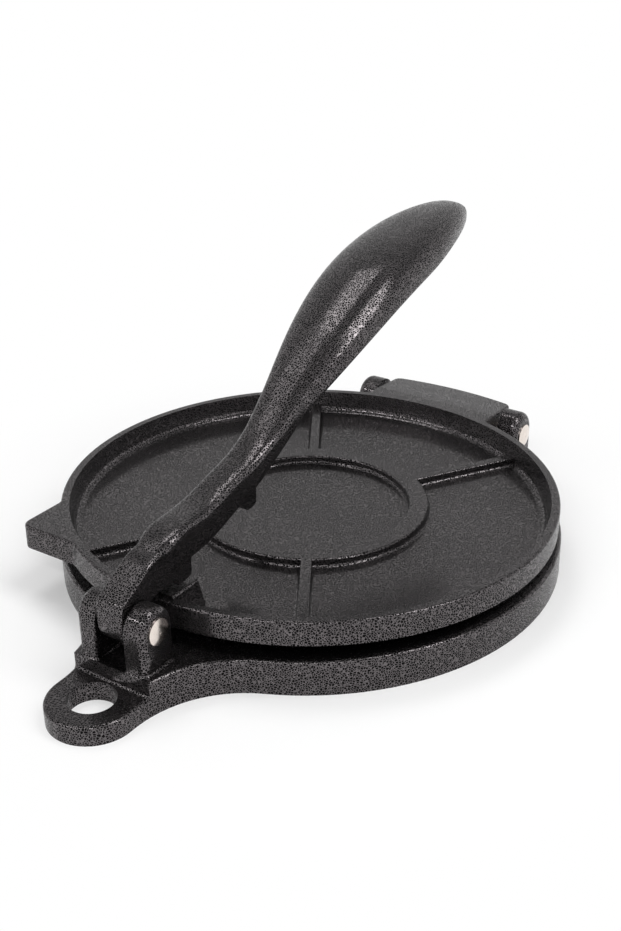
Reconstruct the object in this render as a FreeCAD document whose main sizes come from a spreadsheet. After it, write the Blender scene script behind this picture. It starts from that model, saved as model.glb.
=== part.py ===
"""A round cast tortilla press: base plate, hinged press plate, swinging cam lever and two pins.

Millimetres. The origin is on the axis of the round base, on the table. +Z is up, +Y runs to the back
hinge and -Y to the lever's clevis and the hanging tongue. The plate and the lever stand as they rest:
the lever leans over the plate, and the plate lies on the base with its front edge a little open.
"""
import FreeCAD
import Part
import Sketcher
import math
import os

SIZES = [
    # base
    ("base_margin", 1.3, "how far the base stands out past the press plate"),
    ("base_height", 14.2, "table to the base's pressing face"),
    ("skirt_wall", 6.0, "thickness of the base's skirt"),
    ("base_skin", 5.2, "thickness of the base's top wall"),
    ("under_rib", 5.0, "width of the ribs under the base"),
    ("under_rib_rise", 1.2, "gap from the table to the ribs under the base"),
    ("under_boss", 17.0, "radius of the boss where the ribs under the base meet"),
    ("base_edge", 1.2, "rounding of the upper edge of the disc and the hanging tongue"),
    # neck and hanging tongue
    ("neck_half", 16.9, "half the width of the neck and tongue"),
    ("neck_sweep", 44.0, "radius of the hollow sweep from the disc into the neck"),
    ("riser_out", 23.7, "press plate's edge to the neck's front face"),
    ("tongue_height", 7.7, "thickness of the hanging tongue"),
    ("tongue_out", 10.6, "neck's front face to the centre of the tongue's round end"),
    ("hang_radius", 9.0, "radius of the hanging hole"),
    ("foot_round", 1.2, "rounding in the corner under the neck's front face"),
    # clevis of the lever
    ("pivot_in", 9.2, "neck's front face to the lever's pin"),
    ("pivot_up", 15.4, "base's pressing face to the lever's pin"),
    ("clevis_gap", 6.4, "middle plane to the inner face of a clevis ear"),
    ("clevis_step", 1.6, "side of the neck to the outer face of a clevis ear, measured inwards"),
    ("clevis_round", 8.6, "radius of the top of a clevis ear"),
    ("clevis_edge", 3.0, "rounding of a clevis ear's outer edge"),
    ("clevis_inner_edge", 0.8, "rounding of a clevis ear's inner edge"),
    ("clevis_foot", 1.0, "rounding at the foot of a clevis ear"),
    # back hinge
    ("hinge_out", 11.1, "press plate's edge to the hinge pin"),
    ("hinge_up", 2.2, "base's pressing face to the hinge pin"),
    ("hinge_gap", 33.0, "middle plane to the inner face of a hinge ear"),
    ("hinge_ear", 10.0, "thickness of a hinge ear"),
    ("hinge_ear_round", 8.8, "radius of the top of a hinge ear"),
    ("hinge_ear_rise", 2.0, "hinge pin to the centre of the ear's round top"),
    ("hinge_edge", 3.4, "rounding of a hinge ear's edge"),
    # press plate, drawn lying flat
    ("plate_radius", 102.5, "outer radius of the press plate"),
    ("plate_lift", 2.8, "base's pressing face to the lower edge of the press plate's rim"),
    ("rim_height", 9.8, "height of the press plate's rim"),
    ("rim_width", 3.6, "flat top of the rim"),
    ("rim_slope", 1.6, "how far the inside of the rim leans in"),
    ("rim_edge", 1.0, "rounding of the rim's outer edge"),
    ("rim_corner", 3.2, "rounding between the rim and the floor"),
    ("dish_depth", 9.6, "rim top to the floor of the dish"),
    ("press_inset", 4.5, "press plate's edge to the pressing face under it"),
    ("ring_inner", 41.0, "inner radius of the stiffening ring"),
    ("ring_width", 8.2, "width of the ring's flat top"),
    ("ring_height", 3.6, "floor of the dish to the top of the ring and ribs"),
    ("ring_foot", 1.4, "rounding at the foot of the ring and ribs"),
    ("rib_width", 4.4, "width of a rib's flat top"),
    ("knuckle_gap", 1.8, "gap between the hinge tongue and a hinge ear"),
    ("knuckle_round", 8.2, "radius of the hinge tongue's barrel about the pin"),
    ("knuckle_back", 25.0, "press plate's edge to the back edge of the hinge tongue"),
    ("knuckle_drop", 2.0, "how far the hinge tongue's top falls to its back edge"),
    ("knuckle_thick", 7.6, "thickness of the hinge tongue at its back edge"),
    ("knuckle_root", 1.6, "rounding where the hinge tongue leaves the rim, from above"),
    ("knuckle_corner", 4.0, "rounding of the hinge tongue's back corners, from above"),
    ("tab_side_in", 24.3, "press plate's edge to the lifting tab's outer side, measured inwards"),
    ("tab_front_in", 13.2, "press plate's edge to the lifting tab's front side, measured inwards"),
    ("tab_corner", 4.5, "rounding of the tab's free corner"),
    ("tab_root", 4.0, "rounding where the tab leaves the rim"),
    ("pad_half", 7.6, "half the width of the block under the lever's nose"),
    ("pad_depth", 17.5, "plate's edge to the inner end of that block's top"),
    ("pad_rise", 0.8, "how far that block stands above the rim"),
    ("pad_over", 0.4, "how far that block's top runs over the rim"),
    ("pad_draft", 1.7, "how far that block widens down to the floor"),
    ("pad_edge", 1.0, "rounding of that block's upper edges"),
    # lever: distances from its pin, along the plate and upwards
    ("root_half", 6.0, "half the thickness of the lever's root, nose and nub"),
    ("root_front", 8.0, "pin to the front of the root"),
    ("root_under", 7.8, "pin to the underside of the root"),
    ("root_back", 7.8, "pin to the back of the eye"),
    ("root_top", 9.6, "pin to the front corner of the root's top"),
    ("root_corner", 4.5, "rounding of that corner"),
    ("root_edge", 1.3, "rounding of the root's long edges"),
    ("shoulder_out", 13.0, "pin to the shoulder, along"),
    ("shoulder_up", 21.6, "pin to the shoulder, up"),
    ("shoulder_round", 26.0, "rounding of the shoulder"),
    ("arch_up", 5.2, "pin to the underside between eye and nose, up"),
    ("arch_round", 3.0, "rounding of that underside"),
    ("nose_start", 24.2, "pin to the heel of the nose, along"),
    ("nose_end", 31.9, "pin to the tip of the nose, along"),
    ("heel_up", 2.2, "pin to the heel of the nose, up"),
    ("tip_up", 3.2, "pin to the tip of the nose, up"),
    ("heel_round", 1.6, "rounding of the heel of the nose"),
    ("tip_round", 3.0, "rounding of the tip of the nose"),
    ("nose_hollow", 3.0, "rounding between the nose and the neck"),
    ("nub_start", 60.5, "pin to where the nub leaves the neck, along"),
    ("nub_under", 65.6, "pin to the near end of the nub's underside, along"),
    ("nub_end", 71.7, "pin to the far side of the nub, along"),
    ("nub_drop", 8.3, "how far the nub hangs under the neck"),
    ("nub_round", 2.4, "rounding of the nub"),
    ("bury", 2.6, "how far the root and nub run into the neck"),
    ("lever_reach", 240.0, "pin to the tip of the grip, along"),
    ("lever_rise", 82.0, "pin to the underside of the grip's tip, up"),
    ("neck_wide", 7.1, "half the width of the lever's neck"),
    ("neck_deep", 14.0, "depth of the lever's neck"),
    ("grip_wide", 19.8, "half the width of the grip"),
    ("grip_deep", 14.5, "depth of the grip"),
    ("lever_corner", 1.2, "rounding of the neck's and grip's lower edges"),
    # pins
    ("lever_pin_radius", 4.0, "radius of the lever's pin"),
    ("hinge_pin_radius", 4.4, "radius of the hinge pin"),
    ("lever_head", 5.0, "radius of the lever pin's head"),
    ("hinge_head", 5.3, "radius of the hinge pin's head"),
    ("head_land", 0.5, "height of a pin head's straight side"),
    ("head_dome", 0.8, "height of a pin head's dome"),
    ("tail_height", 1.1, "height of a pin's riveted end, which is a plain dome"),
    # clearances
    ("running", 0.05, "clearance round a pin in a bore that turns on it"),
    ("seat_gap", 0.08, "gap between the plate's pressing face and the base, at the back"),
    ("overrun", 3.0, "how far a cut runs past the metal"),
]
SAME = 0.001         # how near two places count as the same
DERIVED = [
    ("base_radius", "=plate_radius + base_margin"),
    ("press_radius", "=plate_radius - press_inset"),
    ("riser_reach", "=plate_radius + riser_out"),
    ("tongue_reach", "=riser_reach + tongue_out"),
    ("clevis_ear", "=neck_half - clevis_step - clevis_gap"),
    ("pivot_reach", "=riser_reach - pivot_in"),
    ("pivot_height", "=base_height + pivot_up"),
    ("hinge_reach", "=plate_radius + hinge_out"),
    ("hinge_height", "=base_height + hinge_up"),
    ("plate_low", "=base_height + plate_lift"),
    ("plate_top", "=plate_low + rim_height"),
    ("knuckle_half", "=hinge_gap - knuckle_gap"),
    ("back_radius", "=plate_radius + knuckle_back"),
    ("tab_side", "=plate_radius - tab_side_in"),
    ("tab_front", "=plate_radius - tab_front_in"),
]
REST_TILT = 0.97     # degrees that the plate rests open
RIB_TURN = 32.0      # degrees from the middle line to each rib

# Sections along the lever from the shoulder to the tip: share of lever_reach, share of lever_rise
# for the underside, half width as a share of the neck's or grip's, depth likewise, share of the depth
# with straight sides, and how square the crown is (a small share is square).
NECK_SHARES = [
    (0.0420, 0.1080, 0.780, 0.680, 0.55, 0.40),
    (0.0620, 0.1180, 0.820, 0.800, 0.58, 0.40),
    (0.0790, 0.1270, 0.940, 0.890, 0.62, 0.40),
    (0.0960, 0.1330, 1.030, 0.950, 0.64, 0.40),
    (0.1480, 0.1440, 1.000, 0.980, 0.66, 0.42),
    (0.2130, 0.1850, 1.000, 0.920, 0.66, 0.44),
    (0.2720, 0.2401, 1.004, 0.859, 0.62, 0.46),
    (0.3130, 0.2880, 1.047, 0.797, 0.58, 0.50),
]
GRIP_SHARES = [
    (0.3500, 0.3528, 0.402, 0.719, 0.54, 0.55),
    (0.3830, 0.4218, 0.450, 0.699, 0.50, 0.60),
    (0.4160, 0.4920, 0.505, 0.728, 0.46, 0.66),
    (0.4580, 0.5670, 0.614, 0.798, 0.42, 0.72),
    (0.5000, 0.6365, 0.730, 0.872, 0.38, 0.78),
    (0.5420, 0.7017, 0.828, 0.930, 0.35, 0.82),
    (0.6120, 0.7970, 0.943, 0.992, 0.32, 0.86),
    (0.6830, 0.8728, 0.997, 1.003, 0.30, 0.88),
    (0.7540, 0.9252, 0.991, 0.982, 0.30, 0.88),
    (0.8210, 0.9650, 0.910, 0.925, 0.30, 0.88),
    (0.8790, 0.9886, 0.761, 0.864, 0.30, 0.88),
    (0.9250, 1.0003, 0.601, 0.781, 0.31, 0.88),
    (0.9580, 1.0068, 0.456, 0.666, 0.33, 0.88),
    (0.9790, 1.0145, 0.346, 0.511, 0.36, 0.88),
    (0.9920, 1.0243, 0.242, 0.334, 0.40, 0.88),
    (0.9985, 1.0349, 0.136, 0.129, 0.44, 0.88),
]
CROWN_TURNS = [14.0, 30.0, 46.0, 62.0, 77.0]     # degrees round the crown, from the side to the top

doc = FreeCAD.newDocument("tortilla_press")
sheet = doc.addObject("Spreadsheet::Sheet", "Sizes")
rows = SIZES + [("rest_tilt", REST_TILT, "degrees")] + [(name, rule, "") for name, rule in DERIVED]
for row, (name, value, note) in enumerate(rows, start=1):
    sheet.set("A%d" % row, name)
    sheet.set("B%d" % row, str(value))
    sheet.set("C%d" % row, note)
    sheet.setAlias("B%d" % row, name)
doc.recompute()


class Values:
    """The sheet's values by name."""

    def __getattr__(self, name):
        return float(sheet.get(name))


v = Values()


def new_body(label):
    body = doc.addObject("PartDesign::Body", label)
    body.Label = label
    return body


def origin_plane(body, role):
    for feature in body.Origin.OriginFeatures:
        if feature.Role == role:
            return feature
    raise ValueError("no origin plane " + role)


def new_sketch(body, name, role, offset=None, turn=None):
    """A sketch on one of the body's own planes; offset is an expression along the plane's normal."""
    sketch = body.newObject("Sketcher::SketchObject", name)
    sketch.AttachmentSupport = (origin_plane(body, role), [""])
    sketch.MapMode = "FlatFace"
    if offset:
        sketch.setExpression("AttachmentOffset.Base.z", offset)
    if turn:
        sketch.AttachmentOffset = turn
    return sketch


def rounded(sketch, corners):
    """A closed outline through corners (x, y, rounding), drawn with lines and tangent arcs."""
    count = len(corners)
    starts = []
    arcs = []
    for i in range(count):
        x, y, r = corners[i]
        here = FreeCAD.Vector(x, y, 0)
        back = FreeCAD.Vector(corners[i - 1][0], corners[i - 1][1], 0) - here
        ahead = FreeCAD.Vector(corners[(i + 1) % count][0], corners[(i + 1) % count][1], 0) - here
        back.normalize()
        ahead.normalize()
        if r <= 0:
            starts.append((here, here))
            arcs.append(None)
            continue
        half = back.getAngle(ahead) / 2
        run = r / math.tan(half)
        middle = back + ahead
        middle.normalize()
        centre = here + middle * (r / math.sin(half))
        first = here + back * run
        last = here + ahead * run
        starts.append((first, last))
        arcs.append(Part.Arc(first, centre - middle * r, last))
    for i in range(count):
        if arcs[i]:
            sketch.addGeometry(arcs[i], False)
        leave = starts[i][1]
        arrive = starts[(i + 1) % count][0]
        if leave.distanceToPoint(arrive) > SAME:
            sketch.addGeometry(Part.LineSegment(leave, arrive), False)


def circle(sketch, radius, across=None, up=None):
    """A circle whose radius, and place from the sketch's origin, are bound to the sheet."""
    number = sketch.addGeometry(Part.Circle(FreeCAD.Vector(0, 0, 0), FreeCAD.Vector(0, 0, 1), 1.0), False)
    rule = sketch.addConstraint(Sketcher.Constraint("Radius", number, 1.0))
    sketch.setExpression("Constraints[%d]" % rule, radius)
    for kind, value in (("DistanceX", across), ("DistanceY", up)):
        if value is None:
            target = "PointOnObject"
            axis = -2 if kind == "DistanceX" else -1
            sketch.addConstraint(Sketcher.Constraint(target, number, 3, axis))
        else:
            # the dimension starts at the right side, so that the solver keeps it there
            sketch.moveGeometry(number, 3, FreeCAD.Vector(1.0, 1.0, 0), True)
            rule = sketch.addConstraint(Sketcher.Constraint(kind, -1, 1, number, 3, 1.0))
            sketch.setExpression("Constraints[%d]" % rule, value)
    return number


def pad(body, name, sketch, length, midplane=False, reverse=False):
    feature = body.newObject("PartDesign::Pad", name)
    feature.Profile = sketch
    feature.setExpression("Length", length)
    if midplane:
        feature.Midplane = True
    feature.Reversed = reverse
    doc.recompute()
    return feature


def cut(body, name, sketch, length, midplane=False, reverse=False):
    """A pocket that has to take metal away."""
    before = body.Shape.Volume
    feature = body.newObject("PartDesign::Pocket", name)
    feature.Profile = sketch
    feature.setExpression("Length", length)
    if midplane:
        feature.Midplane = True
    feature.Reversed = reverse
    doc.recompute()
    if body.Shape.Volume >= before:
        raise ValueError(name + " cuts nothing")
    return feature


def mirror(body, name, feature):
    copy = body.newObject("PartDesign::Mirrored", name)
    copy.Originals = [feature]
    copy.MirrorPlane = (origin_plane(body, "YZ_Plane"), [""])
    body.Tip = copy
    doc.recompute()
    return copy


def fillet(body, name, wanted, radius):
    """Round the edges that wanted() picks from the body as it is."""
    tip = body.Tip
    names = ["Edge%d" % (i + 1) for i, edge in enumerate(tip.Shape.Edges) if wanted(edge)]
    if not names:
        raise ValueError(name + " finds no edge")
    feature = body.newObject("PartDesign::Fillet", name)
    feature.Base = (tip, names)
    feature.setExpression("Radius", radius)
    doc.recompute()
    return feature


def spots(edge):
    """Five points along an edge."""
    first, last = edge.ParameterRange
    return [edge.valueAt(first + (last - first) * share) for share in (0, 0.25, 0.5, 0.75, 1)]


def lies(edge, side=None, height=None, ring=None):
    """Whether an edge lies at |x| = side, at z = height, or at a distance from the Z axis."""
    for point in spots(edge):
        if side is not None and abs(abs(point.x) - side) > SAME:
            return False
        if height is not None and abs(point.z - height) > SAME:
            return False
        if ring is not None and abs(math.hypot(point.x, point.y) - ring) > SAME:
            return False
    return True


def above(edge, height):
    return all(point.z > height - SAME for point in spots(edge))


def upright(edge):
    first, last = spots(edge)[0], spots(edge)[-1]
    return abs(first.x - last.x) < SAME and abs(first.y - last.y) < SAME


# Base plate.
base = new_body("base_plate")
disc = new_sketch(base, "DiscOutline", "XY_Plane")
circle(disc, "Sizes.base_radius")
pad(base, "Disc", disc, "Sizes.base_height")


def neck_outline(sketch, end_y, end_round):
    """The neck's plan: hollow sweeps from the disc into straight sides, then a straight or round end."""
    sweep_x = v.neck_half + v.neck_sweep
    sweep_y = -math.sqrt((v.base_radius + v.neck_sweep) ** 2 - sweep_x ** 2)
    touch = v.base_radius / (v.base_radius + v.neck_sweep)
    start = FreeCAD.Vector(sweep_x * touch, sweep_y * touch, 0)
    centre = FreeCAD.Vector(sweep_x, sweep_y, 0)
    end_y = min(end_y, sweep_y) if end_round else end_y
    if end_round or end_y < sweep_y:
        finish = FreeCAD.Vector(v.neck_half, sweep_y, 0)
    else:
        finish = FreeCAD.Vector(sweep_x - math.sqrt(v.neck_sweep ** 2 - (end_y - sweep_y) ** 2), end_y, 0)
    towards = (start - centre) + (finish - centre)
    towards.normalize()
    middle = centre + towards * v.neck_sweep
    sides = []
    for side in (1, -1):
        points = [FreeCAD.Vector(p.x * side, p.y, 0) for p in (start, middle, finish)]
        sides.append(points)
        sketch.addGeometry(Part.Arc(*points), False)
    right, left = sides
    if end_round:
        tips = [FreeCAD.Vector(v.neck_half * s, end_y, 0) for s in (1, -1)]
        for points, tip in zip((right, left), tips):
            if points[2].distanceToPoint(tip) > SAME:
                sketch.addGeometry(Part.LineSegment(points[2], tip), False)
        lowest = FreeCAD.Vector(0, end_y - v.neck_half, 0)
        sketch.addGeometry(Part.Arc(tips[0], lowest, tips[1]), False)
    else:
        sketch.addGeometry(Part.LineSegment(right[2], left[2]), False)
    sketch.addGeometry(Part.LineSegment(left[0], right[0]), False)


tongue = new_sketch(base, "TongueOutline", "XY_Plane")
neck_outline(tongue, -v.tongue_reach, True)
pad(base, "Tongue", tongue, "Sizes.tongue_height")
neck = new_sketch(base, "NeckOutline", "XY_Plane")
neck_outline(neck, -v.riser_reach, False)
pad(base, "Neck", neck, "Sizes.base_height")

# Each clevis ear stands on the neck, with its front face in line with the neck's own.
ear = new_sketch(base, "ClevisEar", "YZ_Plane", "Sizes.clevis_gap")
ear_foot = v.base_height - v.base_skin
rounded(ear, [
    (-v.pivot_reach - v.clevis_round, ear_foot, 0),
    (-v.pivot_reach + v.clevis_round, ear_foot, 0),
    (-v.pivot_reach + v.clevis_round, v.pivot_height + v.clevis_round, v.clevis_round),
    (-v.pivot_reach - v.clevis_round, v.pivot_height + v.clevis_round, v.clevis_round),
])
clevis = pad(base, "ClevisEarPad", ear, "Sizes.clevis_ear")
mirror(base, "ClevisEars", clevis)

# Each hinge ear is an arm that runs out of the disc's skirt and rises to a round top about the pin.
arm = new_sketch(base, "HingeArm", "YZ_Plane", "Sizes.hinge_gap")
arm_start = math.sqrt(v.base_radius ** 2 - (v.hinge_gap + v.hinge_ear) ** 2) - 2 * v.skirt_wall
arm_top = v.hinge_height + v.hinge_ear_rise + v.hinge_ear_round
rounded(arm, [
    (arm_start, 0, 0),
    (v.hinge_reach + v.hinge_ear_round, 0, 0),
    (v.hinge_reach + v.hinge_ear_round, arm_top, v.hinge_ear_round),
    (v.hinge_reach - v.hinge_ear_round, arm_top, v.hinge_ear_round),
    (v.hinge_reach - v.hinge_ear_round, v.base_height, 0),
    (arm_start, v.base_height, 0),
])
hinge_arm = pad(base, "HingeArmPad", arm, "Sizes.hinge_ear")
mirror(base, "HingeArms", hinge_arm)

# The cast edges are soft.
ear_out = v.clevis_gap + v.clevis_ear
fillet(base, "ClevisEarEdges", lambda e: lies(e, side=ear_out) and above(e, v.base_height)
       and not lies(e, height=v.base_height), "Sizes.clevis_edge")
fillet(base, "ClevisInnerEdges", lambda e: lies(e, side=v.clevis_gap) and above(e, v.base_height)
       and not lies(e, height=v.base_height), "Sizes.clevis_inner_edge")
fillet(base, "ClevisFoot", lambda e: lies(e, side=ear_out, height=v.base_height), "Sizes.clevis_foot")
arm_out = v.hinge_gap + v.hinge_ear
fillet(base, "HingeEarEdges", lambda e: lies(e, side=arm_out) and above(e, v.base_height)
       and not lies(e, height=v.base_height), "Sizes.hinge_edge")
fillet(base, "FootCorner", lambda e: lies(e, height=v.tongue_height)
       and all(abs(p.y + v.riser_reach) < SAME for p in spots(e)), "Sizes.foot_round")
fillet(base, "DiscEdge", lambda e: lies(e, height=v.base_height, ring=v.base_radius)
       or (lies(e, height=v.tongue_height)
           and all(math.hypot(p.x, p.y + v.tongue_reach) > v.neck_half - SAME for p in spots(e))
           and any(p.y < -v.riser_reach - v.foot_round - SAME for p in spots(e))), "Sizes.base_edge")

# The underside is open, as cast: a skirt all round, crossed ribs and a boss in the middle.
hollow = new_sketch(base, "Underside", "XY_Plane")
circle(hollow, "Sizes.base_radius - Sizes.skirt_wall")
cut(base, "UndersideHollow", hollow, "Sizes.base_height - Sizes.base_skin", reverse=True)
boss = new_sketch(base, "UnderBoss", "XY_Plane", "Sizes.under_rib_rise")
circle(boss, "Sizes.under_boss")
pad(base, "UnderBossPad", boss, "Sizes.base_height - Sizes.base_skin")
for number, turn in enumerate((RIB_TURN, -RIB_TURN)):
    place = FreeCAD.Placement(FreeCAD.Vector(0, 0, 0), FreeCAD.Rotation(FreeCAD.Vector(0, 0, 1), turn))
    rib = new_sketch(base, "UnderRib%d" % number, "XY_Plane", turn=place)
    rib.setExpression("AttachmentOffset.Base.z", "Sizes.under_rib_rise")
    reach = v.base_radius - v.skirt_wall / 2
    rounded(rib, [(-v.under_rib / 2, -reach, 0), (v.under_rib / 2, -reach, 0),
                  (v.under_rib / 2, reach, 0), (-v.under_rib / 2, reach, 0)])
    pad(base, "UnderRibPad%d" % number, rib, "Sizes.base_height - Sizes.base_skin")

hang = new_sketch(base, "HangingHole", "XY_Plane")
circle(hang, "Sizes.hang_radius", up="-Sizes.tongue_reach")
cut(base, "HangingHoleCut", hang, "Sizes.tongue_height + Sizes.overrun", reverse=True)
for name, reach, height, radius, width in (
        ("LeverPinBore", "-Sizes.pivot_reach", "Sizes.pivot_height", "Sizes.lever_pin_radius",
         "2 * (Sizes.clevis_gap + Sizes.clevis_ear + Sizes.overrun)"),
        ("HingePinBore", "Sizes.hinge_reach", "Sizes.hinge_height", "Sizes.hinge_pin_radius",
         "2 * (Sizes.hinge_gap + Sizes.hinge_ear + Sizes.overrun)")):
    bore = new_sketch(base, name, "YZ_Plane")
    circle(bore, radius, across=reach, up=height)
    cut(base, name + "Cut", bore, width, midplane=True)

# Press plate, drawn lying flat.
plate = new_body("press_plate")
rim = new_sketch(plate, "PlateOutline", "XY_Plane", "Sizes.plate_low")
circle(rim, "Sizes.plate_radius")
pad(plate, "PlateDisc", rim, "Sizes.plate_top - Sizes.plate_low")
face = new_sketch(plate, "PressFace", "XY_Plane", "Sizes.base_height + Sizes.seat_gap")
circle(face, "Sizes.press_radius")
pad(plate, "PressFacePad", face, "Sizes.plate_low - Sizes.base_height")

tab = new_sketch(plate, "LiftTab", "XY_Plane", "Sizes.plate_low")
tab_in = math.sqrt(v.plate_radius ** 2 - v.tab_front ** 2) / 2
tab_back = math.sqrt(v.plate_radius ** 2 - v.tab_side ** 2) / 2
rounded(tab, [(-v.tab_side, -v.tab_front, v.tab_corner), (-tab_in, -v.tab_front, 0),
              (-tab_in, -tab_back, 0), (-v.tab_side, -tab_back, 0)])
pad(plate, "LiftTabPad", tab, "Sizes.plate_top - Sizes.plate_low")

# The hinge tongue runs out from the rim over the pin's barrel to a back edge that follows the plate.
tongue_side = new_sketch(plate, "HingeTongue", "YZ_Plane")
tongue_top = v.plate_top - v.knuckle_drop
rounded(tongue_side, [
    (v.press_radius - v.rim_width, v.plate_low, 0),
    (v.hinge_reach - v.knuckle_round, v.plate_low, v.rim_edge),
    (v.hinge_reach - v.knuckle_round, v.hinge_height - v.knuckle_round, v.knuckle_round),
    (v.hinge_reach + v.knuckle_round, v.hinge_height - v.knuckle_round, v.knuckle_round),
    (v.hinge_reach + v.knuckle_round, tongue_top - v.knuckle_thick, v.rim_edge),
    (v.back_radius + v.overrun, tongue_top - v.knuckle_thick, 0),
    (v.back_radius + v.overrun, tongue_top, 0),
    (v.plate_radius + v.rim_corner, v.plate_top, v.knuckle_round),
    (v.press_radius - v.rim_width, v.plate_top, 0),
])
pad(plate, "HingeTonguePad", tongue_side, "2 * Sizes.knuckle_half", midplane=True)

# From above, the tongue's back edge is an arc about the plate's axis, with two round corners.
ends = new_sketch(plate, "TongueEnd", "XY_Plane", "Sizes.plate_top + Sizes.overrun")
side = v.knuckle_half - v.knuckle_corner
turn = math.asin(side / (v.back_radius - v.knuckle_corner))
centre_y = (v.back_radius - v.knuckle_corner) * math.cos(turn)
right = [FreeCAD.Vector(v.back_radius * math.sin(turn), v.back_radius * math.cos(turn), 0),
         FreeCAD.Vector(side + v.knuckle_corner * math.cos((math.pi / 2 - turn) / 2),
                        centre_y + v.knuckle_corner * math.sin((math.pi / 2 - turn) / 2), 0),
         FreeCAD.Vector(v.knuckle_half, centre_y, 0)]
left = [FreeCAD.Vector(-p.x, p.y, 0) for p in right]
far = v.back_radius + v.overrun * 2
wide = v.knuckle_half + v.overrun
ends.addGeometry(Part.Arc(left[0], FreeCAD.Vector(0, v.back_radius, 0), right[0]), False)
for points in (left, right):
    ends.addGeometry(Part.Arc(*points), False)
frame_line = [right[2], FreeCAD.Vector(wide, centre_y, 0), FreeCAD.Vector(wide, far, 0),
              FreeCAD.Vector(-wide, far, 0), FreeCAD.Vector(-wide, centre_y, 0), left[2]]
for first, second in zip(frame_line, frame_line[1:]):
    ends.addGeometry(Part.LineSegment(first, second), False)
cut(plate, "TongueEndCut", ends, "Sizes.plate_top + 2 * Sizes.overrun")
# The rim, the tab and the tongue share one rounded upper edge.
fillet(plate, "TabRoots", lambda e: upright(e) and lies(e, ring=v.plate_radius)
       and spots(e)[0].x < 0 and spots(e)[0].y < 0, "Sizes.tab_root")
fillet(plate, "TongueRoots", lambda e: upright(e) and lies(e, ring=v.plate_radius, side=v.knuckle_half)
       and spots(e)[0].y > 0, "Sizes.knuckle_root")
fillet(plate, "RimEdge", lambda e: lies(e, height=v.plate_top, ring=v.plate_radius), "Sizes.rim_edge")

floor_z = v.plate_top - v.dish_depth
ring_top = floor_z + v.ring_height


def turn_about_z(body, name, sketch, add):
    kind = "PartDesign::Revolution" if add else "PartDesign::Groove"
    before = body.Shape.Volume if body.Shape.Solids else 0
    feature = body.newObject(kind, name)
    feature.Profile = sketch
    feature.ReferenceAxis = (sketch, ["V_Axis"])
    feature.Angle = 360
    doc.recompute()
    if (body.Shape.Volume > before) != add:
        raise ValueError(name + " doesn't change the metal as it should")
    return feature


dish = new_sketch(plate, "Dish", "XZ_Plane")
wall_top = v.plate_radius - v.rim_width
rounded(dish, [
    (0, floor_z, 0),
    (wall_top - v.rim_slope, floor_z, v.rim_corner),
    (wall_top, v.plate_top, 0),
    (wall_top, v.plate_top + v.overrun, 0),
    (0, v.plate_top + v.overrun, 0),
])
turn_about_z(plate, "DishCut", dish, False)


def rib_corners(half, foot, low, high):
    """A rib's cross-section with flared feet, as corners of an outline."""
    return [(-half - foot, low, 0), (half + foot, low, 0), (half + foot, floor_z, 0), (half, floor_z, foot),
            (half, high, foot / 2), (-half, high, foot / 2), (-half, floor_z, foot), (-half - foot, floor_z, 0)]


for number, turn in enumerate((RIB_TURN, -RIB_TURN)):
    place = FreeCAD.Placement(FreeCAD.Vector(0, 0, 0), FreeCAD.Rotation(FreeCAD.Vector(0, 1, 0), turn))
    rib = new_sketch(plate, "Rib%d" % number, "XZ_Plane", turn=place)
    rounded(rib, rib_corners(v.rib_width / 2, v.ring_foot, v.plate_low, ring_top))
    pad(plate, "RibPad%d" % number, rib, "2 * Sizes.plate_radius - Sizes.rim_width", midplane=True)

inside = new_sketch(plate, "RingInside", "XY_Plane", "Sizes.plate_top")
circle(inside, "Sizes.ring_inner + Sizes.ring_width / 2")
cut(plate, "RingInsideCut", inside, "Sizes.dish_depth")

ring = new_sketch(plate, "Ring", "XZ_Plane")
shift = v.ring_inner + v.ring_width / 2
rounded(ring, [(x + shift, z, r) for x, z, r in
               rib_corners(v.ring_width / 2, v.ring_foot, v.plate_low, ring_top)])
turn_about_z(plate, "RingAdded", ring, True)

# The block under the lever's nose, drafted on its sides and inner end, reaches the rim.
block_top = v.plate_top + v.pad_rise
block = new_sketch(plate, "NoseBlock", "XZ_Plane", "Sizes.plate_radius - Sizes.pad_depth - Sizes.pad_draft")
rounded(block, [
    (-v.pad_half - v.pad_draft, floor_z - v.seat_gap, 0),
    (v.pad_half + v.pad_draft, floor_z - v.seat_gap, 0),
    (v.pad_half, block_top, v.pad_edge),
    (-v.pad_half, block_top, v.pad_edge),
])
pad(plate, "NoseBlockPad", block, "Sizes.pad_depth + Sizes.pad_draft - Sizes.rim_width + Sizes.pad_over")
trim = new_sketch(plate, "NoseBlockEnd", "YZ_Plane")
block_in = -v.plate_radius + v.pad_depth
rounded(trim, [
    (block_in + v.pad_draft, floor_z, 0),
    (block_in + v.pad_draft + v.overrun, floor_z, 0),
    (block_in + v.pad_draft + v.overrun, block_top + v.overrun, 0),
    (block_in - v.pad_draft * v.overrun / v.dish_depth, block_top + v.overrun, 0),
])
cut(plate, "NoseBlockEndCut", trim, "2 * (Sizes.pad_half + Sizes.pad_draft + Sizes.overrun)", midplane=True)
knuckle_bore = new_sketch(plate, "KnuckleBore", "YZ_Plane")
circle(knuckle_bore, "Sizes.hinge_pin_radius + Sizes.running", across="Sizes.hinge_reach",
       up="Sizes.hinge_height")
cut(plate, "KnuckleBoreCut", knuckle_bore, "2 * (Sizes.knuckle_half + Sizes.overrun)", midplane=True)
plate.setExpression(
    "Placement",
    "create(<<placement>>; create(<<vector>>; 0; 0; 0); "
    "create(<<rotation>>; create(<<vector>>; -1; 0; 0); Sizes.rest_tilt); "
    "create(<<vector>>; 0; Sizes.hinge_reach; Sizes.hinge_height))")

# Lever.
lever = new_body("lever")


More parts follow.
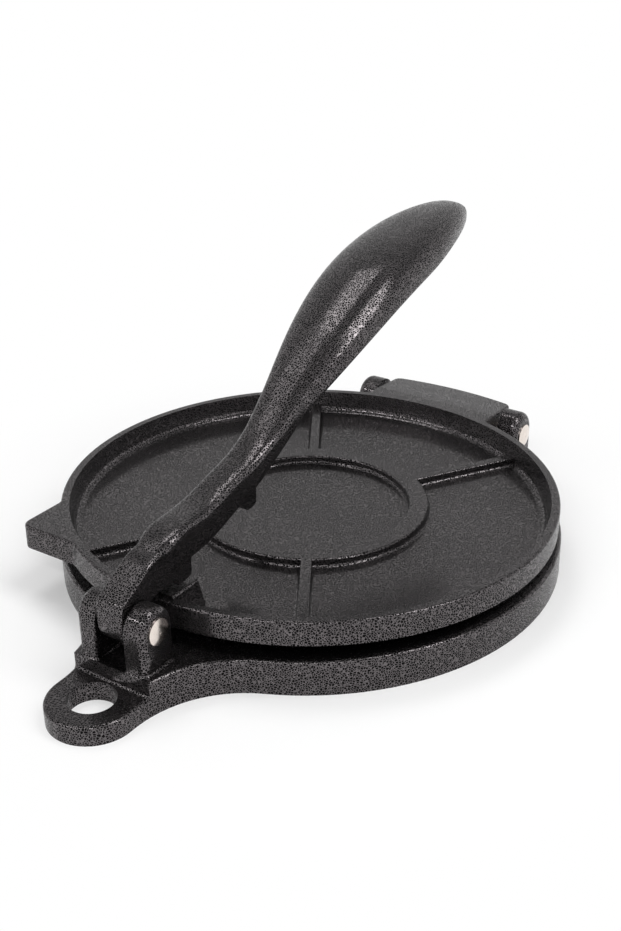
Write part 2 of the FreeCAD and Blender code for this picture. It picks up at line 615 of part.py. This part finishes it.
def section(number, row, wide, deep):
    """One closed section of the neck or grip: flat underside, upright sides and a crowned top."""
    along, up, width_share, depth_share, side_share, square = row
    half = wide * width_share
    depth = deep * depth_share
    corner = min(v.lever_corner, depth / 4, half / 4)
    low = v.pivot_height + v.lever_rise * up
    spring = max(depth * side_share, corner * 2)
    slack = 1 - math.sqrt(0.5)
    right = [(half / 2, 0), (half - corner, 0), (half - corner * slack, corner * slack), (half, corner),
             (half, (corner + spring) / 2), (half, spring)]
    for turn in CROWN_TURNS:
        side = math.cos(math.radians(turn)) ** square
        rise = math.sin(math.radians(turn)) ** square
        right.append((half * side, spring + (depth - spring) * rise))
    outline = [(0, 0)] + right + [(0, depth)] + [(-x, z) for x, z in reversed(right)]
    points = [FreeCAD.Vector(x, low + z, 0) for x, z in outline]
    curve = Part.BSplineCurve()
    curve.interpolate(Points=points, PeriodicFlag=True)
    sketch = new_sketch(lever, "Section%02d" % number, "XZ_Plane",
                        "Sizes.pivot_reach - %s * Sizes.lever_reach" % along)
    sketch.addGeometry(curve, False)
    return sketch


def under_neck(along):
    """Height of the neck's underside over the pin, at a distance along the lever."""
    share = along / v.lever_reach
    rows = NECK_SHARES + GRIP_SHARES
    for first, second in zip(rows, rows[1:]):
        if share <= second[0]:
            break
    part_way = (share - first[0]) / (second[0] - first[0])
    return v.lever_rise * (first[1] + (second[1] - first[1]) * part_way)


root = new_sketch(lever, "RootOutline", "YZ_Plane")
neck_low = under_neck(v.nose_end + v.nose_hollow)
root_bend = min(v.root_under, (v.root_front + v.root_back) / 2)
rounded(root, [(-v.pivot_reach + y, v.pivot_height + z, r) for y, z, r in [
    (-v.root_front, -v.root_under, root_bend),
    (v.root_back, -v.root_under, root_bend),
    (v.root_back, v.arch_up, v.arch_round),
    (v.nose_start - v.arch_round, v.arch_up, v.arch_round / 2),
    (v.nose_start, v.heel_up, v.heel_round),
    (v.nose_end, v.tip_up, v.tip_round),
    (v.nose_end, neck_low + v.bury / 4, v.nose_hollow),
    (v.nose_end + v.nose_hollow + v.bury, neck_low + v.bury / 4, 0),
    (v.nose_end + v.nose_hollow + v.bury, neck_low + v.bury, 0),
    (v.nose_start, v.shoulder_up - v.bury / 2, 0),
    (v.shoulder_out, v.shoulder_up, v.shoulder_round),
    (-v.root_front, v.root_top, v.root_corner),
]])
pad(lever, "Root", root, "2 * Sizes.root_half", midplane=True)
fillet(lever, "RootEdges", lambda e: lies(e, side=v.root_half), "Sizes.root_edge")

sections = []
for row in NECK_SHARES:
    sections.append(section(len(sections), row, v.neck_wide, v.neck_deep))
for row in GRIP_SHARES:
    sections.append(section(len(sections), row, v.grip_wide, v.grip_deep))
doc.recompute()
loft = lever.newObject("PartDesign::AdditiveLoft", "NeckAndGrip")
loft.Profile = sections[0]
loft.Sections = sections[1:]
loft.Ruled = False
doc.recompute()

nub = new_sketch(lever, "NubOutline", "YZ_Plane")
nub_near = under_neck(v.nub_start)
nub_far = under_neck(v.nub_end)
nub_low = nub_far - v.nub_drop
rounded(nub, [(-v.pivot_reach + y, v.pivot_height + z, r) for y, z, r in [
    (v.nub_start, nub_near + v.bury / 2, 0),
    (v.nub_under, nub_low, v.nub_round),
    (v.nub_end, nub_low, v.nub_round),
    (v.nub_end, nub_far + v.bury, 0),
    (v.nub_start, nub_near + v.bury * 1.5, 0),
]])
pad(lever, "Nub", nub, "2 * Sizes.root_half", midplane=True)
eye = new_sketch(lever, "EyeBore", "YZ_Plane")
circle(eye, "Sizes.lever_pin_radius + Sizes.running", across="-Sizes.pivot_reach", up="Sizes.pivot_height")
cut(lever, "EyeBoreCut", eye, "2 * (Sizes.root_half + Sizes.overrun)", midplane=True)


# Pins.
def pin(label, radius, head, reach, height, half_length):
    """A shank with a head on +X, whose dome stands on a short land, and a domed riveted end on -X."""
    body = new_body(label)
    profile = new_sketch(body, label + "_profile", "XY_Plane")

    def dome(side, foot, tall):
        ball = (head ** 2 + tall ** 2) / tall / 2
        half_bend = math.asin(head / ball) / 2
        middle = foot + tall - ball
        return [FreeCAD.Vector(side * (middle + ball * math.cos(bend)), ball * math.sin(bend), 0)
                for bend in (0, half_bend, half_bend * 2)]

    tail_arc = dome(-1, half_length, v.tail_height)
    head_arc = dome(1, half_length + v.head_land, v.head_dome)
    profile.addGeometry(Part.Arc(*tail_arc), False)
    corners = [tail_arc[2], FreeCAD.Vector(-half_length, radius, 0), FreeCAD.Vector(half_length, radius, 0),
               FreeCAD.Vector(half_length, head, 0), head_arc[2]]
    for first, second in zip(corners, corners[1:]):
        profile.addGeometry(Part.LineSegment(first, second), False)
    profile.addGeometry(Part.Arc(*head_arc), False)
    profile.addGeometry(Part.LineSegment(head_arc[0], tail_arc[0]), False)
    feature = body.newObject("PartDesign::Revolution", label + "_turned")
    feature.Profile = profile
    feature.ReferenceAxis = (profile, ["H_Axis"])
    feature.Angle = 360
    body.setExpression("Placement.Base.y", reach)
    body.setExpression("Placement.Base.z", height)
    doc.recompute()
    return body


lever_pin = pin("lever_pin", v.lever_pin_radius, v.lever_head, "-Sizes.pivot_reach", "Sizes.pivot_height",
                v.clevis_gap + v.clevis_ear)
hinge_pin = pin("hinge_pin", v.hinge_pin_radius, v.hinge_head, "Sizes.hinge_reach", "Sizes.hinge_height",
                v.hinge_gap + v.hinge_ear)

# Files.
doc.recompute()
bodies = [base, plate, lever, lever_pin, hinge_pin]
for item in doc.Objects:
    if "Invalid" in item.State or "Error" in item.State:
        raise ValueError(item.Name + " did not rebuild")
os.makedirs("parts", exist_ok=True)
for body in bodies:
    shape = body.Shape
    if shape.isNull() or not shape.isValid() or len(shape.Solids) != 1:
        raise ValueError(body.Label + " is not one sound solid")
    shape.exportStep("parts/%s.step" % body.Label)
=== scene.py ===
"""A round cast tortilla press in a dark hammered powder coat, on a pale studio floor.

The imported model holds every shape. This script gives its pieces their finish and adds the floor,
the light and the camera. Lengths are in metres, and tones and colours are linear, from 0 to 1.
"""
import math
import bpy
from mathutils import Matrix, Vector

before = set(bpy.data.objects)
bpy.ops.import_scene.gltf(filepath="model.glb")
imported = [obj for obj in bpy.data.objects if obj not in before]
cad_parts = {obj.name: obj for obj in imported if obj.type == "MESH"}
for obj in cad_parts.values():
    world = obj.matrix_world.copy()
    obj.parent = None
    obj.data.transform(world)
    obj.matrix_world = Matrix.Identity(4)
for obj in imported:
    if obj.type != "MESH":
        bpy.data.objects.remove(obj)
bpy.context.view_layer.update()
scene = bpy.context.scene


# node helpers
def give(tree, socket, value):
    """Links an input to the output of another node, or sets it to a plain value."""
    if isinstance(value, bpy.types.NodeSocket):
        tree.links.new(value, socket)
    else:
        socket.default_value = value


def give_all(tree, node, values):
    """Gives the node's inputs their values by name."""
    for name, value in values.items():
        give(tree, node.inputs[name], value)


def add(tree, kind, **values):
    """A node of that kind; values go to its inputs by name, or to its own settings."""
    node = tree.nodes.new(kind)
    for name, value in values.items():
        if name in node.inputs:
            give(tree, node.inputs[name], value)
        else:
            setattr(node, name, value)
    return node


def opaque(tone):
    """Red, green, blue and full alpha, from a grey or a colour."""
    return (tone, tone, tone, 1.0) if isinstance(tone, float) else (*tone, 1.0)


def worked_out(tree, operation, *terms, kind="ShaderNodeMath", result="Value"):
    """What a Math or Vector Math node makes of its terms, in their order."""
    node = add(tree, kind, operation=operation)
    for socket, term in zip(node.inputs, terms):
        give(tree, socket, term)
    return node.outputs[result]


def rescaled(tree, value, start=0.0, end=1.0, first=0.0, last=1.0, interpolation="LINEAR"):
    """First where the value is at start, last where it is at end, a blend between, and held beyond."""
    node = add(tree, "ShaderNodeMapRange", interpolation_type=interpolation, Value=value)
    give_all(tree, node, {"From Min": start, "From Max": end, "To Min": first, "To Max": last})
    return node.outputs["Result"]


def ramp(tree, value, low, high):
    """A colour ramp between two stops, each a position with its grey or colour."""
    node = add(tree, "ShaderNodeValToRGB", Fac=value)
    for element, (position, tone) in zip(node.color_ramp.elements, (low, high)):
        element.position = position
        element.color = opaque(tone)
    return node.outputs["Color"]


def mixed(tree, share, low, high, blend_type="MIX"):
    """The colour between low, at a share of 0, and high, at a share of 1."""
    node = add(tree, "ShaderNodeMix", data_type="RGBA", blend_type=blend_type)
    # a Mix node has inputs for every kind of data, and the colour's are found by number only
    for number, value in ((0, share), (6, low), (7, high)):
        give(tree, node.inputs[number], value)
    return node.outputs[2]


def seen_or_mirrored(tree):
    """1 for a ray of the camera, a mirror or a see-through part, and 0 for the light that is cast."""
    path = add(tree, "ShaderNodeLightPath").outputs
    seen_here = worked_out(tree, "MAXIMUM", path["Is Camera Ray"], path["Is Glossy Ray"])
    return worked_out(tree, "MAXIMUM", seen_here, path["Is Transmission Ray"])


def new_material(name):
    """A material, its node tree and its shader."""
    material = bpy.data.materials.new(name)
    material.use_nodes = True
    tree = material.node_tree
    return material, tree, tree.nodes["Principled BSDF"]


# hammered coat: one pit in each cell, with the film along the cells' borders
pit_gap = 0.00094
pit_depth = 0.00012
# shares of the gap: how far a pit's outline wavers, and how far from a border the film is gone or whole
pit_waver = 0.20
film_gone = 0.13
film_whole = 0.09
pit_tone = 0.004
pit_roughness = 0.45
# the film's tone on upright faces, and a darker copy of it for faces that look up, which is painted
# shade
upright_tone = (0.176, 0.162, 0.166)
level_shaded_tone = (0.101, 0.093, 0.095)
film_roughness = 0.14
film_metal = 0.95
film_specular = 0.3
# how far a face looks up, 0 upright and 1 level, for its painted shade and for the filling of its pits
level_start = 0.40
level_full = 0.95
filling_start = 0.96
filling_full = 0.995
filling = 0.08
# fine grain on the film, between two values of its noise
grains_in_gap = 2.0
grain_low = 0.38
grain_high = 0.62
grain_darkest = 0.62
grain_height = 0.15
bump_strength = 0.5


def hammered(name):
    """A dark glossy film with metal flake, which draws back from small round black pits, with painted
    shade that darkens the faces that look up.
    """
    material, tree, shader = new_material(name)
    place = add(tree, "ShaderNodeTexCoord").outputs
    grain = add(tree, "ShaderNodeTexNoise", Vector=place["Object"], Scale=grains_in_gap / pit_gap,
                Detail=2.0, Roughness=0.6).outputs

    # the grain makes the pits' outlines waver
    waver = (pit_gap * pit_waver,) * 3
    wavered = worked_out(tree, "MULTIPLY_ADD", grain["Color"], waver, place["Object"],
                         kind="ShaderNodeVectorMath", result="Vector")
    from_border = add(tree, "ShaderNodeTexVoronoi", feature="DISTANCE_TO_EDGE", Vector=wavered,
                      Scale=1.0 / pit_gap).outputs["Distance"]
    open_film = rescaled(tree, from_border, start=film_gone, end=film_whole)

    # painted shade: the film is darker on the faces that look up; and the pits of the level ones are
    # shallower
    facing = add(tree, "ShaderNodeSeparateXYZ", Vector=place["Normal"]).outputs
    level = rescaled(tree, facing["Z"], start=level_start, end=level_full)
    filled = rescaled(tree, facing["Z"], start=filling_start, end=filling_full, last=filling)
    film = worked_out(tree, "MAXIMUM", open_film, filled)
    tone = mixed(tree, level, opaque(upright_tone), opaque(level_shaded_tone))
    grain_tone = ramp(tree, grain["Fac"], (grain_low, grain_darkest), (grain_high, 1.0))
    grainy = mixed(tree, 1.0, tone, grain_tone, blend_type="MULTIPLY")

    height = worked_out(tree, "MULTIPLY_ADD", grain["Fac"], grain_height, film)
    bump = add(tree, "ShaderNodeBump", Strength=bump_strength, Distance=pit_depth, Height=height)
    give_all(tree, shader, {
        "Base Color": mixed(tree, film, opaque(pit_tone), grainy),
        "Metallic": film_metal,
        "Roughness": rescaled(tree, film, first=pit_roughness, last=film_roughness),
        "Specular IOR Level": film_specular,
        "Normal": bump.outputs["Normal"],
    })
    return material


# plated steel: soft patches, darker and smoother at one end of the noise than at the other
patches_per_metre = 420.0
patch_low = 0.3
patch_high = 0.7
patch_dark = (0.79, 0.71, 0.65)
patch_light = (0.88, 0.80, 0.74)
patch_smooth = 0.16
patch_rough = 0.26
patch_depth = 0.0001


def bright_steel(name):
    """Plated pin ends: bright and faintly warm, with soft uneven patches."""
    material, tree, shader = new_material(name)
    place = add(tree, "ShaderNodeTexCoord").outputs
    patches = add(tree, "ShaderNodeTexNoise", Vector=place["Object"], Scale=patches_per_metre,
                  Detail=3.0, Roughness=0.6).outputs["Fac"]
    bump = add(tree, "ShaderNodeBump", Strength=0.12, Distance=patch_depth, Height=patches)
    give_all(tree, shader, {
        "Base Color": ramp(tree, patches, (patch_low, patch_dark), (patch_high, patch_light)),
        "Metallic": 1.0,
        "Roughness": ramp(tree, patches, (patch_low, patch_smooth), (patch_high, patch_rough)),
        "Normal": bump.outputs["Normal"],
    })
    return material


casting = hammered("hammered_coat")
steel = bright_steel("plated_steel")
finish = {
    "base_plate": casting,
    "press_plate": casting,
    "lever": casting,
    "lever_pin": steel,
    "hinge_pin": steel,
}
for name, material in finish.items():
    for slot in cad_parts[name].material_slots:
        slot.link = "OBJECT"
        slot.material = material

# floor: two close tones, and a little light of its own where it is seen
floor_side = 6.0
floor_dark = 0.82
floor_light = 0.84
floor_low = 0.3
floor_high = 0.7
floor_lift = 0.16
mottles_per_metre = 60.0
# distances from the middle of the base, between which the floor that is seen turns plain white
white_from = 0.09
white_to = 0.20
white = opaque(1.0)

bpy.ops.mesh.primitive_plane_add(size=floor_side, location=(0.0, 0.0, 0.0))
floor = bpy.context.object
floor.name = "studio_floor"
paper, paper_tree, paper_shader = new_material("pale_floor")
seen = seen_or_mirrored(paper_tree)
mottle = add(paper_tree, "ShaderNodeTexNoise", Scale=mottles_per_metre, Detail=2.0).outputs["Fac"]
give_all(paper_tree, paper_shader, {
    "Base Color": ramp(paper_tree, mottle, (floor_low, floor_dark), (floor_high, floor_light)),
    "Roughness": 0.9,
    "Specular IOR Level": 0.1,
    "Emission Color": white,
    "Emission Strength": worked_out(paper_tree, "MULTIPLY", seen, floor_lift),
})
# near the press the floor keeps its shadow, and further out a plain white glow takes over
spot = add(paper_tree, "ShaderNodeTexCoord").outputs["Object"]
away = worked_out(paper_tree, "LENGTH", spot, kind="ShaderNodeVectorMath")
far = rescaled(paper_tree, away, start=white_from, end=white_to, interpolation="SMOOTHSTEP")
glow = add(paper_tree, "ShaderNodeEmission", Color=white, Strength=1.0)
blend = add(paper_tree, "ShaderNodeMixShader", Fac=worked_out(paper_tree, "MULTIPLY", far, seen))
give(paper_tree, blend.inputs[1], paper_shader.outputs["BSDF"])
give(paper_tree, blend.inputs[2], glow.outputs["Emission"])
give_all(paper_tree, paper_tree.nodes["Material Output"], {"Surface": blend.outputs["Shader"]})
floor.data.materials.append(paper)

# light of the white room: what it casts, and its walls and its ceiling as they are seen and mirrored
cast_strength = 0.25
wall_strength = 1.0
ceiling_strength = 0.45
# the upward share of a direction where the walls end, and where the dimmer ceiling begins
wall_end = 0.60
ceiling_start = 0.85

world = bpy.data.worlds.new("studio")
scene.world = world
world.use_nodes = True
room = world.node_tree
heading = add(room, "ShaderNodeTexCoord").outputs["Generated"]
rise = add(room, "ShaderNodeSeparateXYZ", Vector=heading).outputs["Z"]
room_strength = rescaled(room, rise, start=wall_end, end=ceiling_start,
                         first=wall_strength, last=ceiling_strength)
give_all(room, room.nodes["Background"], {
    "Color": white,
    "Strength": rescaled(room, seen_or_mirrored(room), first=cast_strength, last=room_strength),
})


def softbox(name, place, width, depth, power, target=None):
    """A soft panel that hangs level, or one that faces its target."""
    lamp = bpy.data.lights.new(name, "AREA")
    lamp.shape = "RECTANGLE"
    lamp.size = width
    lamp.size_y = depth
    lamp.energy = power
    panel = bpy.data.objects.new(name, lamp)
    panel.location = place
    if target:
        towards = Vector(target) - Vector(place)
        panel.rotation_euler = towards.to_track_quat("-Z", "Y").to_euler()
    scene.collection.objects.link(panel)


# three level panels overhead, and a long narrow one in front for the walls; powers are in watts
overhead = 1.25
softbox("softbox_left", (-0.46, 0.24, overhead), width=0.41, depth=0.58, power=3.4)
softbox("softbox_dim", (-0.68, -0.22, overhead), width=0.46, depth=0.34, power=0.7)
softbox("softbox_right", (1.12, 0.16, overhead), width=1.84, depth=0.50, power=16.5)
softbox("softbox_front", (0.0, -1.00, 1.10), width=2.00, depth=0.10, power=7.0, target=(0.0, 0.0, 0.02))

# camera, fitted to the photograph; its place is in metres, and its lens and sensor are in millimetres
camera_place = (0.276757, -0.404815, 0.292018)
camera_degrees = (62.6707, 0.9021, 33.8565)
focal_length = 51.844
sensor_side = 36.0

camera_data = bpy.data.cameras.new("camera")
camera_data.sensor_width = sensor_side
camera_data.lens = focal_length
camera_data.clip_start = 0.01
camera = bpy.data.objects.new("camera", camera_data)
camera.location = camera_place
camera.rotation_euler = [math.radians(degrees) for degrees in camera_degrees]
scene.collection.objects.link(camera)
scene.camera = camera
scene.view_settings.view_transform = "Standard"
